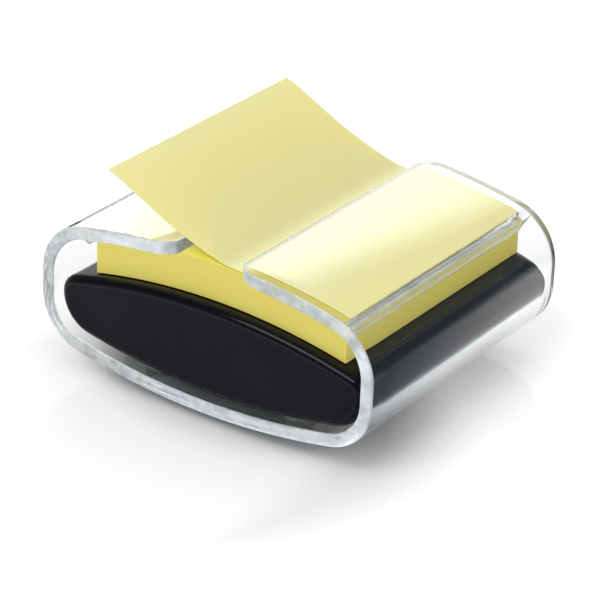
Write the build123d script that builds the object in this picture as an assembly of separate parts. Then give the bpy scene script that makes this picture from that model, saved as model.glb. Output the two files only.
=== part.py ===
from build123d import *
import os
from math import asin, cos, degrees, pi, radians, sin, sqrt, tan

# Desk dispenser for pop-up notes. Millimetres, +Z up, +X across the oval front, front towards -Y.
# The origin is on the desk, under the middle of the sleeve.

# Notes and refill pad
note_size = 76.2
note_thickness = 0.12
pad_thickness = 10.0
pad_front_margin = 5.9
pad_back_margin = 2.5
pad_side_shift = 0.7
paper_gap = 0.3

# Curve of the note that stands out of the slot
note_bend_start = 5.0
note_seam = 0.3
note_bend_radius = 18.0
note_bend_angle = 13.6
note_sweep_radius = 115.0
note_sweep_angle = 11.5
note_tip_radius = 35.0
note_tip_angle = 9.0

# Clear sleeve, measured on its inner surface
sleeve_wall = 3.6
side_room = 8.8
head_room = 0.36
belly_sag = 6.05
shoulder_radius = 11.8
heel_radius = 10.9
slot_width = 17.4
slot_shift = -0.5
slot_corner_radius = 6.5
rim_radius = 1.4
rib_thickness = 2.0
rib_depth = 3.0
rib_edge_radius = 0.8
rib_clearance = 0.4

# Feet
desk_gap = 2.8
foot_top_radius = 5.5
foot_sole_radius = 4.6
foot_edge_radius = 0.8
foot_side_inset = 28.7
foot_end_inset = 13.6

# Weighted base
base_clearance = 0.4
base_side_height = 0.22
base_front_recess = 2.4
base_back_recess = 0.4
deck_sag = 4.2
deck_corner_radius = 5.0
base_edge_radius = 2.2
shell_wall = 2.4
deck_rib_thickness = 1.6
deck_rib_spacing = 20.0
deck_rib_count = 3

# Cover, ballast and screws
cover_thickness = 2.2
cover_side_margin = 14.0
cover_end_margin = 6.0
cover_corner_radius = 5.0
cover_clearance = 0.2
ballast_margin = 1.2
ballast_height = 10.0
seat_gap = 0.1
boss_inset = 8.0
boss_radius = 3.2
boss_shoulder_radius = 5.0
boss_hole_clearance = 0.5
screw_radius = 1.5
screw_head_radius = 2.9
screw_head_height = 1.4
screw_head_sink = 0.3
screw_length = 12.0
screw_clearance = 0.05
pilot_extra_depth = 1.5
driver_slot_width = 0.7
driver_slot_depth = 0.8


def arc_radius(chord, sag):
    """Radius of the arc that rises by sag over a chord."""
    return chord**2 / (8 * sag) + sag / 2


# Plan of the sleeve, pad and base
cavity_width = note_size + 2 * side_room
sleeve_depth = note_size + pad_front_margin + pad_back_margin
sleeve_front = -sleeve_depth / 2
sleeve_back = sleeve_depth / 2
pad_front = sleeve_front + pad_front_margin
pad_back = sleeve_back - pad_back_margin
base_front = sleeve_front + base_front_recess
base_back = sleeve_back - base_back_recess
base_middle_y = (base_front + base_back) / 2
base_width = cavity_width - 2 * base_clearance
cover_width = base_width - 2 * cover_side_margin
cover_length = base_back - base_front - 2 * cover_end_margin
boss_x = cover_width / 2 - boss_inset
boss_y = cover_length / 2 - boss_inset
foot_x = cavity_width / 2 + sleeve_wall - foot_side_inset
foot_y = sleeve_back - foot_end_inset

# Belly and heels, from the desk up
cavity_floor = desk_gap + sleeve_wall
base_bottom = cavity_floor + base_clearance
belly_radius = arc_radius(cavity_width, belly_sag)
belly_centre_z = cavity_floor + belly_radius
heel_centre_x = cavity_width / 2 - heel_radius
heel_centre_z = belly_centre_z - sqrt((belly_radius - heel_radius) ** 2 - heel_centre_x**2)
belly_angle = degrees(asin(heel_centre_x / (belly_radius - heel_radius)))

# Arched deck, whose rounded corner ends just above the heel
deck_radius = arc_radius(note_size, deck_sag)
deck_edge_angle = asin(base_width / 2 / deck_radius)
deck_corner_reach = deck_corner_radius * tan(pi / 4 - deck_edge_angle / 2)
deck_edge_z = heel_centre_z + base_side_height + deck_corner_reach
deck_centre_z = deck_edge_z - deck_radius * cos(deck_edge_angle)
deck_top = deck_centre_z + deck_radius
ballast_top = base_bottom + cover_thickness + seat_gap + ballast_height

# Paper and roof, all on arcs about the deck's centre
pad_radius = deck_radius + paper_gap
next_note_radius = pad_radius + pad_thickness
raised_note_radius = next_note_radius + note_thickness + paper_gap
roof_radius = raised_note_radius + note_thickness + head_room
cavity_top = deck_centre_z + roof_radius
middle_z = (cavity_floor + cavity_top) / 2

# Shoulders, where roof and sides meet in tangents
shoulder_centre_x = cavity_width / 2 - shoulder_radius
shoulder_centre_z = deck_centre_z + sqrt((roof_radius - shoulder_radius) ** 2 - shoulder_centre_x**2)
roof_angle = degrees(asin(shoulder_centre_x / (roof_radius - shoulder_radius)))
side_length = shoulder_centre_z - heel_centre_z


def run(face, front, back):
    """Carries an upright section, drawn as x and z, from one depth to another."""
    return extrude(Plane.XZ.offset(-front) * face, amount=back - front, dir=(0, 1, 0))


def cavity_section(inset):
    """Pillow of tangent arcs: the sleeve's inner section, moved inwards by inset."""
    roof = JernArc((0, cavity_top - inset), (1, 0), roof_radius - inset, -roof_angle)
    shoulder = JernArc(roof @ 1, roof % 1, shoulder_radius - inset, roof_angle - 90)
    side = Line(shoulder @ 1, shoulder @ 1 - Vector(0, side_length))
    heel = JernArc(side @ 1, side % 1, heel_radius - inset, belly_angle - 90)
    belly = JernArc(heel @ 1, heel % 1, belly_radius - inset, -belly_angle)
    half = Curve() + [roof, shoulder, side, heel, belly]
    return make_face(half + mirror(half, Plane.YZ))


def base_section(inset):
    """Lens of the base: the cavity's lower part under the arched deck, moved inwards by inset."""
    deck = Pos(0, deck_centre_z) * Circle(deck_radius - inset)
    lens = cavity_section(base_clearance + inset) & deck
    corners = lens.vertices().sort_by(Axis.Y)[-2:]
    return fillet(corners, deck_corner_radius - inset)


def base_run(inset):
    """The base's lens carried between its front and back, inset on all sides."""
    return run(base_section(inset), base_front + inset, base_back - inset)


def arched_sheet(inner_radius, thickness, left_x):
    """Sheet or stack that lies bent over the deck's arch, from left_x to the pad's right edge."""
    ring = Circle(inner_radius + thickness) - Circle(inner_radius)
    width = note_size / 2 + pad_side_shift - left_x
    strip = Pos(left_x + width / 2, inner_radius) * Rectangle(width, inner_radius)
    return run(Pos(0, deck_centre_z) * (ring & strip), pad_front, pad_back)


def make_guide_rib(side):
    """Rib under one shoulder that keeps the pad from sliding sideways."""
    inner_x = note_size / 2 + pad_side_shift + rib_clearance
    middle_x = inner_x + rib_thickness / 2
    shoulder_z = shoulder_centre_z + sqrt(shoulder_radius**2 - (middle_x - shoulder_centre_x) ** 2)
    bar_height = cavity_top - shoulder_z + rib_depth
    bar = Pos(side * middle_x, cavity_top - bar_height / 2) * RectangleRounded(
        rib_thickness, bar_height, rib_edge_radius
    )
    return run(bar & cavity_section(-sleeve_wall / 2), pad_front, pad_back)


def make_sleeve():
    """Clear wrap with an open-ended note slot, rounded panel corners and rounded rims."""
    tube = run(cavity_section(-sleeve_wall), sleeve_front, sleeve_back)
    tube -= run(cavity_section(0), sleeve_front, sleeve_back)
    tube -= Pos(slot_shift, 0, cavity_top) * Box(slot_width, sleeve_depth, 2 * sleeve_wall)

    def near_slot(edge):
        place = edge.center()
        return abs(place.X) < slot_width and place.Z > middle_z

    corners = tube.edges().filter_by(Axis.Z).filter_by(near_slot)
    wrap = fillet(corners, slot_corner_radius)
    through_wall = wrap.edges().filter_by(Axis.Z).filter_by(near_slot)
    along_wall = wrap.edges().filter_by(Axis.Y).filter_by(near_slot, reverse=True)
    wrap = fillet(wrap.edges() - through_wall - along_wall, rim_radius)
    for side in (-1, 1):
        wrap += make_guide_rib(side)
    return wrap


def belly_underside(x):
    """Height of the sleeve's curved underside at a distance from its middle."""
    return belly_centre_z - sqrt((belly_radius + sleeve_wall) ** 2 - x**2)


def make_foot(x, y):
    """Tapered bumper with a rounded sole, cut to the belly's curve where it sticks."""
    height = belly_underside(abs(x) + foot_top_radius)
    cone = Cone(foot_sole_radius, foot_top_radius, height, align=(Align.CENTER, Align.CENTER, Align.MIN))
    cone = fillet(cone.edges().sort_by(Axis.Z)[0], foot_edge_radius)
    return Pos(x, y, 0) * cone - run(cavity_section(-sleeve_wall), sleeve_front, sleeve_back)


def boss_places():
    """Positions of the four screw bosses."""
    return [Pos(x, base_middle_y + y, 0) for x in (-boss_x, boss_x) for y in (-boss_y, boss_y)]


def column(radius, low, high):
    """Upright cylinder between two heights, at every boss."""
    post = Pos(0, 0, low) * Cylinder(radius, high - low, align=(Align.CENTER, Align.CENTER, Align.MIN))
    return [place * post for place in boss_places()]


def cover_prism(clearance):
    """Upright prism of the cover's rounded outline, from the desk to the base's widest level."""
    outline = RectangleRounded(cover_width + 2 * clearance, cover_length + 2 * clearance, cover_corner_radius)
    return extrude(Pos(0, base_middle_y) * outline, amount=heel_centre_z)


def cover_run(face, length):
    """An upright section carried over a length about the cover's middle, with rounded corners in plan."""
    block = run(face, base_middle_y - length / 2, base_middle_y + length / 2)
    return fillet(block.edges().filter_by(Axis.Z), cover_corner_radius)


def screw_seat_z():
    """Height of a screw head's face, just inside the cover's curved underside."""
    radius = belly_radius - base_clearance
    return belly_centre_z - sqrt(radius**2 - boss_x**2) + screw_head_sink


def make_base_shell():
    """Black shell: arched deck, rounded ends, deck ribs and four stepped bosses, open below for the cover."""
    block = base_run(0)
    ends = block.faces().filter_by(Axis.Y)
    block = fillet(ends.edges(), base_edge_radius)
    shell = block - base_run(shell_wall) - cover_prism(cover_clearance)
    rib_height = deck_top - ballast_top - seat_gap
    rib = Pos(0, base_middle_y, ballast_top + seat_gap + rib_height / 2) * Box(
        deck_rib_thickness, base_back - base_front - shell_wall, rib_height
    )
    upper = column(boss_shoulder_radius, ballast_top + seat_gap, deck_top)
    lower = column(boss_radius, base_bottom, deck_top)
    ribs = [place * rib for place in GridLocations(deck_rib_spacing, 1, deck_rib_count, 1)]
    inside = base_run(shell_wall / 2)
    for piece in ribs + upper:
        shell += piece & inside
    for piece in lower:
        shell += piece & run(base_section(cover_thickness + seat_gap), base_front, base_back)
    pilot_top = screw_seat_z() + screw_length + pilot_extra_depth
    for pilot in column(screw_radius + screw_clearance, base_bottom, pilot_top):
        shell -= pilot
    return shell


def make_base_cover():
    """Curved cover with rounded corners and four countersunk holes, flush with the shell's underside."""
    outer_radius = belly_radius - base_clearance
    ring = Circle(outer_radius) - Circle(outer_radius - cover_thickness)
    strip = Pos(0, -outer_radius) * Rectangle(cover_width, outer_radius)
    cover = cover_run(Pos(0, belly_centre_z) * (ring & strip), cover_length)
    for place in boss_places():
        cover -= place * make_screw(screw_clearance, base_bottom)
    return cover


def make_screw(clearance, sole):
    """Countersunk screw pointing up. With a clearance and a sole height below it, the hole that takes it."""
    seat = screw_seat_z()
    head_radius = screw_head_radius + clearance
    base = (Align.CENTER, Align.CENTER, Align.MIN)
    screw = Pos(0, 0, seat) * Cone(head_radius, screw_radius + clearance, screw_head_height, align=base)
    screw += Pos(0, 0, seat) * Cylinder(screw_radius + clearance, screw_length, align=base)
    if sole < seat:
        screw += Pos(0, 0, sole) * Cylinder(head_radius, seat - sole, align=base)
    return screw


def make_screws():
    """Four screws with a cross recess in each head."""
    seat = screw_seat_z()
    screw = make_screw(0, seat)
    for turn in (0, 90):
        slot = Box(2 * screw_radius, driver_slot_width, 2 * driver_slot_depth)
        screw -= Pos(0, 0, seat) * Rot(0, 0, turn) * slot
    return Compound(children=[place * screw for place in boss_places()])


def make_ballast():
    """Cast weight that lies on the cover and is clamped under the boss shoulders."""
    underside = Pos(0, belly_centre_z) * Circle(belly_radius - base_clearance - cover_thickness - seat_gap)
    slab = Pos(0, ballast_top / 2) * Rectangle(cover_width - 2 * ballast_margin, ballast_top)
    block = cover_run(underside & slab, cover_length - 2 * ballast_margin)
    for hole in column(boss_radius + boss_hole_clearance, base_bottom, ballast_top):
        block -= hole
    return block


def flap_line(rise):
    """Raised note's line from its bend to its free end, moved up by rise along its normal.

    It bends up off the pad's arch, sweeps on upwards through the slot, runs straight and nods over at its tip.
    """
    stuck_angle = asin((note_size / 2 + pad_side_shift) / raised_note_radius)
    leave_angle = asin(note_bend_start / raised_note_radius)
    tail_length = raised_note_radius * (stuck_angle - leave_angle)
    bend_length = note_bend_radius * radians(note_bend_angle)
    sweep_length = note_sweep_radius * radians(note_sweep_angle)
    tip_length = note_tip_radius * radians(note_tip_angle)
    straight_length = note_size - tail_length - bend_length - sweep_length - tip_length
    radius = raised_note_radius + rise
    start = Vector(radius * sin(leave_angle), deck_centre_z + radius * cos(leave_angle))
    heading = Vector(-cos(leave_angle), sin(leave_angle))
    bend = JernArc(start, heading, note_bend_radius - rise, -note_bend_angle)
    sweep_up = JernArc(bend @ 1, bend % 1, note_sweep_radius - rise, -note_sweep_angle)
    straight = Line(sweep_up @ 1, sweep_up @ 1 + (sweep_up % 1) * straight_length)
    tip = JernArc(straight @ 1, straight % 1, note_tip_radius + rise, note_tip_angle)
    return [bend, sweep_up, straight, tip]


def make_raised_note():
    """Flap of the note that stands out of the slot, between its lower and upper lines."""
    lower = flap_line(0)
    upper = flap_line(note_thickness)
    bent_end = Line(lower[0] @ 0, upper[0] @ 0)
    free_end = Line(lower[-1] @ 1, upper[-1] @ 1)
    return run(make_face(Curve() + lower + upper + [bent_end, free_end]), pad_front, pad_back)


def make_parts():
    """Every piece under its node's name."""
    parts = {"clear_sleeve": make_sleeve()}
    for end, y in (("front", -foot_y), ("rear", foot_y)):
        for side, x in (("left", -foot_x), ("right", foot_x)):
            parts[f"foot_{end}_{side}"] = make_foot(x, y)
    parts["base_shell"] = make_base_shell()
    parts["base_cover"] = make_base_cover()
    parts["ballast_block"] = make_ballast()
    parts["cover_screws"] = make_screws()
    pad_left = pad_side_shift - note_size / 2
    parts["note_pad"] = arched_sheet(pad_radius, pad_thickness, pad_left)
    parts["next_note"] = arched_sheet(next_note_radius, note_thickness, pad_left)
    parts["raised_note_tail"] = arched_sheet(raised_note_radius, note_thickness, note_bend_start + note_seam)
    parts["raised_note"] = make_raised_note()
    return parts


os.makedirs("parts", exist_ok=True)
for name, part in make_parts().items():
    export_step(part, os.path.join("parts", name + ".step"))
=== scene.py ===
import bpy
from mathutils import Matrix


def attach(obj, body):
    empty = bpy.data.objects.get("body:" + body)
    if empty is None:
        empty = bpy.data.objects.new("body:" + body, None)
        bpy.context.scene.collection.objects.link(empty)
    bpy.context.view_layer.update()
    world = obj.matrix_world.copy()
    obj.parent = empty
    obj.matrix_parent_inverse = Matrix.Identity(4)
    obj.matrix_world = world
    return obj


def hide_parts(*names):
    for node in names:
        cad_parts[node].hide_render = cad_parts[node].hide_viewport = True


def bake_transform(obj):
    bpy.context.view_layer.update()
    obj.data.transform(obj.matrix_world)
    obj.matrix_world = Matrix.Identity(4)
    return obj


bl_info = {
    "name": "Pop-up note dispenser",
    "version": (1, 0, 0),
    "blender": (4, 5, 0),
    "location": "View3D > Sidebar > Dispenser",
    "description": "Builds the looks of a clear desk dispenser for pop-up notes around its packed frame",
    "category": "Object",
}

import bpy
import numpy as np
from bpy.props import FloatProperty, FloatVectorProperty, PointerProperty
from bpy.types import Operator, Panel, PropertyGroup
from mathutils import Matrix, Vector

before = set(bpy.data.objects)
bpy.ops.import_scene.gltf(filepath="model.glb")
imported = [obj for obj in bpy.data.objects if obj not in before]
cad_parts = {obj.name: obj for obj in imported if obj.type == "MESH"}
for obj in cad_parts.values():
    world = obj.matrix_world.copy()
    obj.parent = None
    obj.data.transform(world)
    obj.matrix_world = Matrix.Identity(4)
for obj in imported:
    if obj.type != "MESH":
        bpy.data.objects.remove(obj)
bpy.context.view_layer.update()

PICTURE_WIDTH = 601
SENSOR_WIDTH = 36.0
RIGHT_ANGLE = np.pi / 2
SHARP_ANGLE = np.radians(40)
WELD_DISTANCE = 1e-6
EDGE_STEP = 2e-6
LIGHT_BOUNCES = 40
WHITE = (1.0, 1.0, 1.0)
PLASTIC_IOR = 1.49
RUBBER_IOR = 1.45
FLOOR_IOR = 1.12

# Samples along the stretches of the outlines
LIP_SAMPLES = 26
ROOF_SAMPLES = 14
RIB_SAMPLES = 17
TURN_SAMPLES = 28
BELLY_SAMPLES = 24
DEPTH_SAMPLES = 17
RIM_SAMPLES = 9
BASE_SAMPLES = 25
BASE_EDGE_SAMPLES = 13
BASE_DEPTH_SAMPLES = 60
PAD_SAMPLES = 49
PAD_DEPTH_SAMPLES = 9
TAIL_SAMPLES = 40
FLAP_STEPS = (24, 24, 16, 12)
NOTE_DEPTH_SAMPLES = 25

# Grains of the finishes and depths of their relief, in metres
WAVE_GRAIN = 0.03
WAVE_DEPTH = 0.0004
FLOW_GRAIN = 0.005
STREAK_GRAIN = 0.0035
SMEAR_GRAIN = 0.012
RUBBER_GRAIN = 0.0015
RUBBER_DEPTH = 0.00004
POLISH_GRAIN = 0.02
POLISH_DEPTH = 0.000006
SATIN_GRAIN = 0.00035
SATIN_DEPTH = 0.00003
SHADE_GRAIN = 0.02
COVER_GRAIN = 0.0006
COVER_DEPTH = 0.00012
SCUFF_GRAIN = 0.01
SAND_GRAIN = 0.0012
SAND_DEPTH = 0.0002
CASTING_GRAIN = 0.015
TURNING_GRAIN = 0.0006
TURNING_DEPTH = 0.00002
BLOOM_GRAIN = 0.003
FIBRE_GRAIN = 0.0005
FIBRE_DEPTH = 0.00002
CLOUD_GRAIN = 0.006
EDGE_GRAIN = 0.012
EDGE_DEPTH = 0.00005
LEAF_GRAIN = 0.02

# Stretches of their patterns
FLOW_STRETCH = 0.3
STREAK_STRETCH = 0.5
POLISH_STRETCH = (6.0, 0.25)
TURNING_STRETCH = 6.0
EDGE_STRETCH = (60.0, 0.6)
LEAF_STRETCH = (12.0, 0.5)

# Levels between which marks fade in, and shares
RIM_FADE = (0.0, 0.4)
LIP_FADE = (0.1, 0.6)
FLOW_FADE = (0.35, 0.62)
STREAK_FADE = (0.5, 0.66)
LEAF_FADE = (0.35, 0.65)
WAVE_SHARE = 0.1
FLOW_SHARE = 0.12
# partly painted light: haze on the rims, which follows their flow marks and stands in for light guided
# inside the clear rims
FLOW_HAZE = (0.5, 0.85)
# painted refraction: share of grey haze along the slot's lips
LIP_PAINTED_BAND = 0.75
# painted reflection: share of haze on the rear rim above the shoulder, which carries the olive-grey of the
# paper mirrored in it
REAR_PAINTED_BAND = 0.8
# painted highlight: a little of the rims' haze on the guide ribs, which lightens them
RIB_PAINTED_HAZE = 0.2
FIBRE_SHARE = 0.35
DEEP_PAPER = 0.955
NOTE_LIGHT = 0.38
DARK_IRON = 0.55
DISH_SLOPE = 0.8

# Places between which a finish, painted light or the note's bend changes, in metres
REAR_FADE = (0.0408, 0.0414)
BELLY_FADE = (0.016, 0.008)
TAIL_FADE = (0.015, 0.036)
TIP_FADE = (-0.02, -0.045)
LAID_FADE = (-0.008, -0.016)
LIGHT_FADE = (0.003, -0.005)

# Where the floor's glow and its plain white begin, in metres
PATCH_FRONT = 0.045
PATCH_FADE = (0.045, 0.072)
LEFT_FADE = (0.045, 0.03)
LEFT_GLOW = 0.5
BESIDE_FADE = (0.043, 0.055)
DISTANCE_FADE = (0.2, 0.45)

# Where the light of the room and the cards changes, as shares
SIDE_FADE = (-0.3, 0.2)
FRONT_FADE = (-0.4, 0.1)
CEILING_FADE = (0.1, 0.5)
CARD_SIDES = (0.5, 0.3)
CARD_TOP = (0.96, 0.8)
CARD_MIDDLE = (0.5, 0.68)
SHADE_SHEET_EDGE = (0.5, 0.4)

# Corners of the stage's sheets, and place, width and height of its lamps, in metres
FLOOR = ((-2.0, -2.0), (2.0, -2.0), (2.0, 2.0), (-2.0, 2.0))
CARD_ENDS = ((-1.8, 0.2), (0.2, 1.6))
CARD_HEIGHT = 1.0
# painted shade: corners of the two dark sheets that stand in for shade in mirror images
SIDE_SHADE_SHEET = ((-0.03, -0.2), (0.9, -0.2), (0.9, 1.2), (0.45, 1.2))
BACK_SHADE_SHEET = ((-0.9, -0.1), (-0.06, -0.1), (-0.06, 1.2), (-0.9, 1.2))
SHADE_SHEET_HEIGHT = 0.0005
TOP_LAMP = ((-0.1, 0.1, 1.2), 1.4, 1.4)
SIDE_LAMP = ((1.0, -0.3, 0.55), 0.6, 0.6)
FRONT_LAMP = ((-0.2, -0.85, 0.95), 0.8, 0.5)
LAMP_TARGET = (0.0, 0.0, 0.02)


def metres(title, description, value):
    """A property: a length in metres."""
    return FloatProperty(name=title, description=description, default=value, unit="LENGTH", precision=5)


def degrees(title, description, value):
    """A property: an angle, given in degrees."""
    return FloatProperty(name=title, description=description, default=np.radians(value), subtype="ANGLE")


def number(title, description, value):
    """A property: a plain number."""
    return FloatProperty(name=title, description=description, default=value, precision=3)


def paint(title, description, value):
    """A property: a linear colour."""
    limits = {"min": 0.0, "max": 1.0}
    return FloatVectorProperty(name=title, description=description, default=value, subtype="COLOR", **limits)


class SleeveSizes(PropertyGroup):
    """Sizes of the clear wrap, measured on its inner surface."""

    wall: metres("Wall", "Thickness of the wrap", 0.0036)
    roof_radius: metres("Roof radius", "Radius of the arched roof", 0.1861107)
    arch_centre: metres("Arch centre", "Height of the arches' centre", -0.1435218)
    shoulder_radius: metres("Shoulder radius", "Radius between roof and side", 0.0118)
    shoulder_x: metres("Shoulder place", "Its centre from the middle", 0.0351)
    shoulder_z: metres("Shoulder height", "Height of its centre", 0.0272184)
    heel_radius: metres("Heel radius", "Radius between side and belly", 0.0109)
    heel_x: metres("Heel place", "Its centre from the middle", 0.036)
    heel_z: metres("Heel height", "Height of its centre", 0.0210668)
    belly_radius: metres("Belly radius", "Radius of the curved floor", 0.184811)
    belly_centre: metres("Belly centre", "Height of its centre", 0.191211)
    depth: metres("Depth", "Depth from front to back", 0.0846)
    rim_radius: metres("Rim radius", "Rounding of the open ends", 0.0007)
    lip_radius: metres("Lip radius", "Rounding of the slot's lips", 0.0016)
    lip_corner: metres("Lip corner", "Rounding of the lips' corners in plan", 0.0065)
    lip_left: metres("Left lip", "Distance from the middle", 0.0092)
    lip_right: metres("Right lip", "Distance from the middle", 0.0089)
    rib_inner: metres("Rib place", "A guide rib from the middle", 0.0392)
    rib_thickness: metres("Rib thickness", "Thickness of a guide rib", 0.002)
    rib_depth: metres("Rib depth", "How far a guide rib hangs down", 0.003)
    rib_edge: metres("Rib edge", "Rounding of its lower edges", 0.0008)


class BaseSizes(PropertyGroup):
    """Sizes of the weighted black base."""

    clearance: metres("Clearance", "Gap between base and wrap", 0.0004)
    front: metres("Front", "Place of the front face", -0.0399)
    back: metres("Back", "Place of the back face", 0.0419)
    deck_radius: metres("Deck radius", "Radius of the arched deck", 0.1749107)
    corner_radius: metres("Deck corner", "Radius between deck and side", 0.005)
    edge_radius: metres("End rounding", "Rounding around the end faces", 0.0022)
    cover_dish: metres("Cover dish", "Depth of the dish around the cover", 0.0003)
    cover_width: metres("Cover width", "Width of the cover below", 0.065)
    cover_margin: metres("Cover margin", "Its distance from the base's ends", 0.006)


class PaperSizes(PropertyGroup):
    """Sizes of the pad and of the note that stands out of the slot."""

    note: metres("Note size", "Side of a square note", 0.0762)
    thickness: metres("Sheet thickness", "Thickness of one note", 0.00012)
    front: metres("Pad front", "Place of the pad's front", -0.0364)
    shift: metres("Pad shift", "How far right the pad lies", 0.0007)
    gap: metres("Paper gap", "Gap between layers", 0.0003)
    pad_thickness: metres("Pad thickness", "Height of the stack of notes", 0.01)
    bend_start: metres("Bend start", "Where the raised note leaves the pad", 0.005)
    bend_radius: metres("Bend radius", "Radius of the first bend", 0.018)
    bend_angle: degrees("Bend angle", "Turn of the first bend", 13.6)
    sweep_radius: metres("Sweep radius", "Radius in the slot", 0.115)
    sweep_angle: degrees("Sweep angle", "Turn in the slot", 11.5)
    tip_radius: metres("Tip radius", "Radius at the free end", 0.035)
    tip_angle: degrees("Tip angle", "Turn at the free end", 9.0)


class FinishColours(PropertyGroup):
    """Colours and strengths of the finishes."""

    clear: paint("Clear plastic", "Tint of the wrap", (0.98, 0.988, 0.99))
    clear_shadow: paint("Clear shadow", "Light past one surface", (0.992, 0.995, 0.995))
    belly_shadow: paint("Belly shadow", "Light past one belly surface", (0.4, 0.42, 0.43))
    clear_depth: paint("Clear depth", "Light deep inside the wrap", (0.3, 0.44, 0.52))
    clear_loss: number("Clear loss", "Light that the wrap takes up, per metre", 4.0)
    # partly painted light: the flow marks are the plastic's own, while the rims' milky white and blue-grey
    # stand in for light that the clear plastic guides inside them
    milky_and_painted_light: paint("Milky rim", "Colour of the wrap's rims", (0.93, 0.95, 0.96))
    flow_marks_painted_blue: paint("Rim mark", "Flow marks in the rims", (0.7, 0.8, 0.86))
    # painted reflection: olive-grey that stands in for the paper which the rear rim shows by inner
    # reflection
    rear_rim_painted_reflection: paint("Rear rim", "Rear rim, which paper tints", (0.25, 0.26, 0.18))
    # painted refraction: the lips' grey stands in for the band that their rounding bends into view
    lip: paint("Slot lips", "Soft light in the slot's lips", (0.32, 0.35, 0.36))
    rubber: paint("Clear rubber", "Tint of the feet", (0.7, 0.72, 0.73))
    black: paint("Black plastic", "Colour of the base", (0.004, 0.0042, 0.0058))
    # painted reflection: blue tint on the base's reflections, standing in for bluish light in the room
    reflection_painted_blue: paint("Black gloss", "Tint of its reflections", (0.82, 0.92, 1.0))
    satin: paint("Satin face", "Base's end faces", (0.011, 0.0105, 0.0135))
    cover: paint("Cover", "Cover of the underside", (0.017, 0.017, 0.019))
    iron: paint("Ballast", "Cast weight", (0.2, 0.2, 0.21))
    steel: paint("Screws", "Plated screws", (0.6, 0.6, 0.62))
    note: paint("Note", "Raised note", (0.97, 0.94, 0.5))
    laid: paint("Laid note", "Note that lies on the pad", (0.93, 0.84, 0.12))
    # painted highlight: the raised note is paler towards its free tip, where its curve catches more light
    tip_painted_highlight: paint("Note tip", "Raised note at its free edge", (0.96, 0.94, 0.66))
    # painted sheen: the laid note turns paler at its left, under the strong sheen of the roof's left panel
    laid_left_painted_sheen: paint("Laid note, left", "Laid note at its left", (0.93, 0.85, 0.5))
    # painted shade: the raised note turns deeper yellow towards its stuck edge, where the roof's sheen falls
    # off
    tail_painted_shade: paint("Note tail", "Raised note on the pad", (0.93, 0.86, 0.37))
    note_through: paint("Note light", "Light that has passed a note", (0.98, 0.9, 0.03))
    stack: paint("Pad edge", "Stacked edges", (0.78, 0.675, 0.155))
    stack_dark: paint("Pad streak", "Streaks in the stack", (0.74, 0.635, 0.135))


class StageSetup(PropertyGroup):
    """Camera, floor and lamps."""

    azimuth: degrees("Azimuth", "Turn of the camera to the right", 34.2039)
    elevation: degrees("Elevation", "How far the camera looks down", 27.0648)
    roll: degrees("Roll", "Turn about the line of sight", 2.254)
    focal_pixels: number("Focal length", "In pixels of the picture", 2953.34)
    offset: FloatVectorProperty(
        name="Offset",
        description="The origin as the camera sees it: right, up and back",
        default=(-0.000822, -0.015545, -0.766171),
        unit="LENGTH",
    )
    floor: paint("Floor", "Colour of the floor", (0.88, 0.887, 0.897))
    floor_glow: number("Floor glow", "White that the lit floor adds", 0.24)
    room: number("Room light", "Even light from all round", 0.7)
    ceiling: number("Ceiling", "Its brightness in mirrors and glass", 0.22)
    dim_front: number("Dim front", "Room's front in mirrors", 0.3)
    dim_side: number("Dim side", "Room's right in mirrors", 0.15)
    key: number("Top lamp", "Power of the lamp above", 0.5)
    front: number("Front lamp", "Power of the lamp in front", 5.9)
    side: number("Side lamp", "Power of the lamp on the right", 2.0)
    card: number("Back card", "Brightness of the card behind", 3.5)
    # painted shade: tone of the two dark sheets on the floor that stand in for the object's shade and the
    # dark room in mirror images
    flag: paint("Flags", "Shade of the two dark cards", (0.09, 0.115, 0.155))


def sizes(name):
    """One of the scene's groups of sizes or colours."""
    return getattr(bpy.context.scene, name)


class Value:
    """A node's output that takes part in Python expressions: each operator adds a Math node."""

    def __init__(self, finish, socket):
        self.finish = finish
        self.socket = socket

    def __add__(self, other):
        return self.finish.maths("ADD", self, other)

    def __sub__(self, other):
        return self.finish.maths("SUBTRACT", self, other)

    def __rsub__(self, other):
        return self.finish.maths("SUBTRACT", other, self)

    def __mul__(self, other):
        return self.finish.maths("MULTIPLY", self, other)

    __radd__ = __add__
    __rmul__ = __mul__

    def __pow__(self, other):
        return self.finish.maths("POWER", self, other)

    def __abs__(self):
        return self.finish.maths("ABSOLUTE", self, 0.0)


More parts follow.
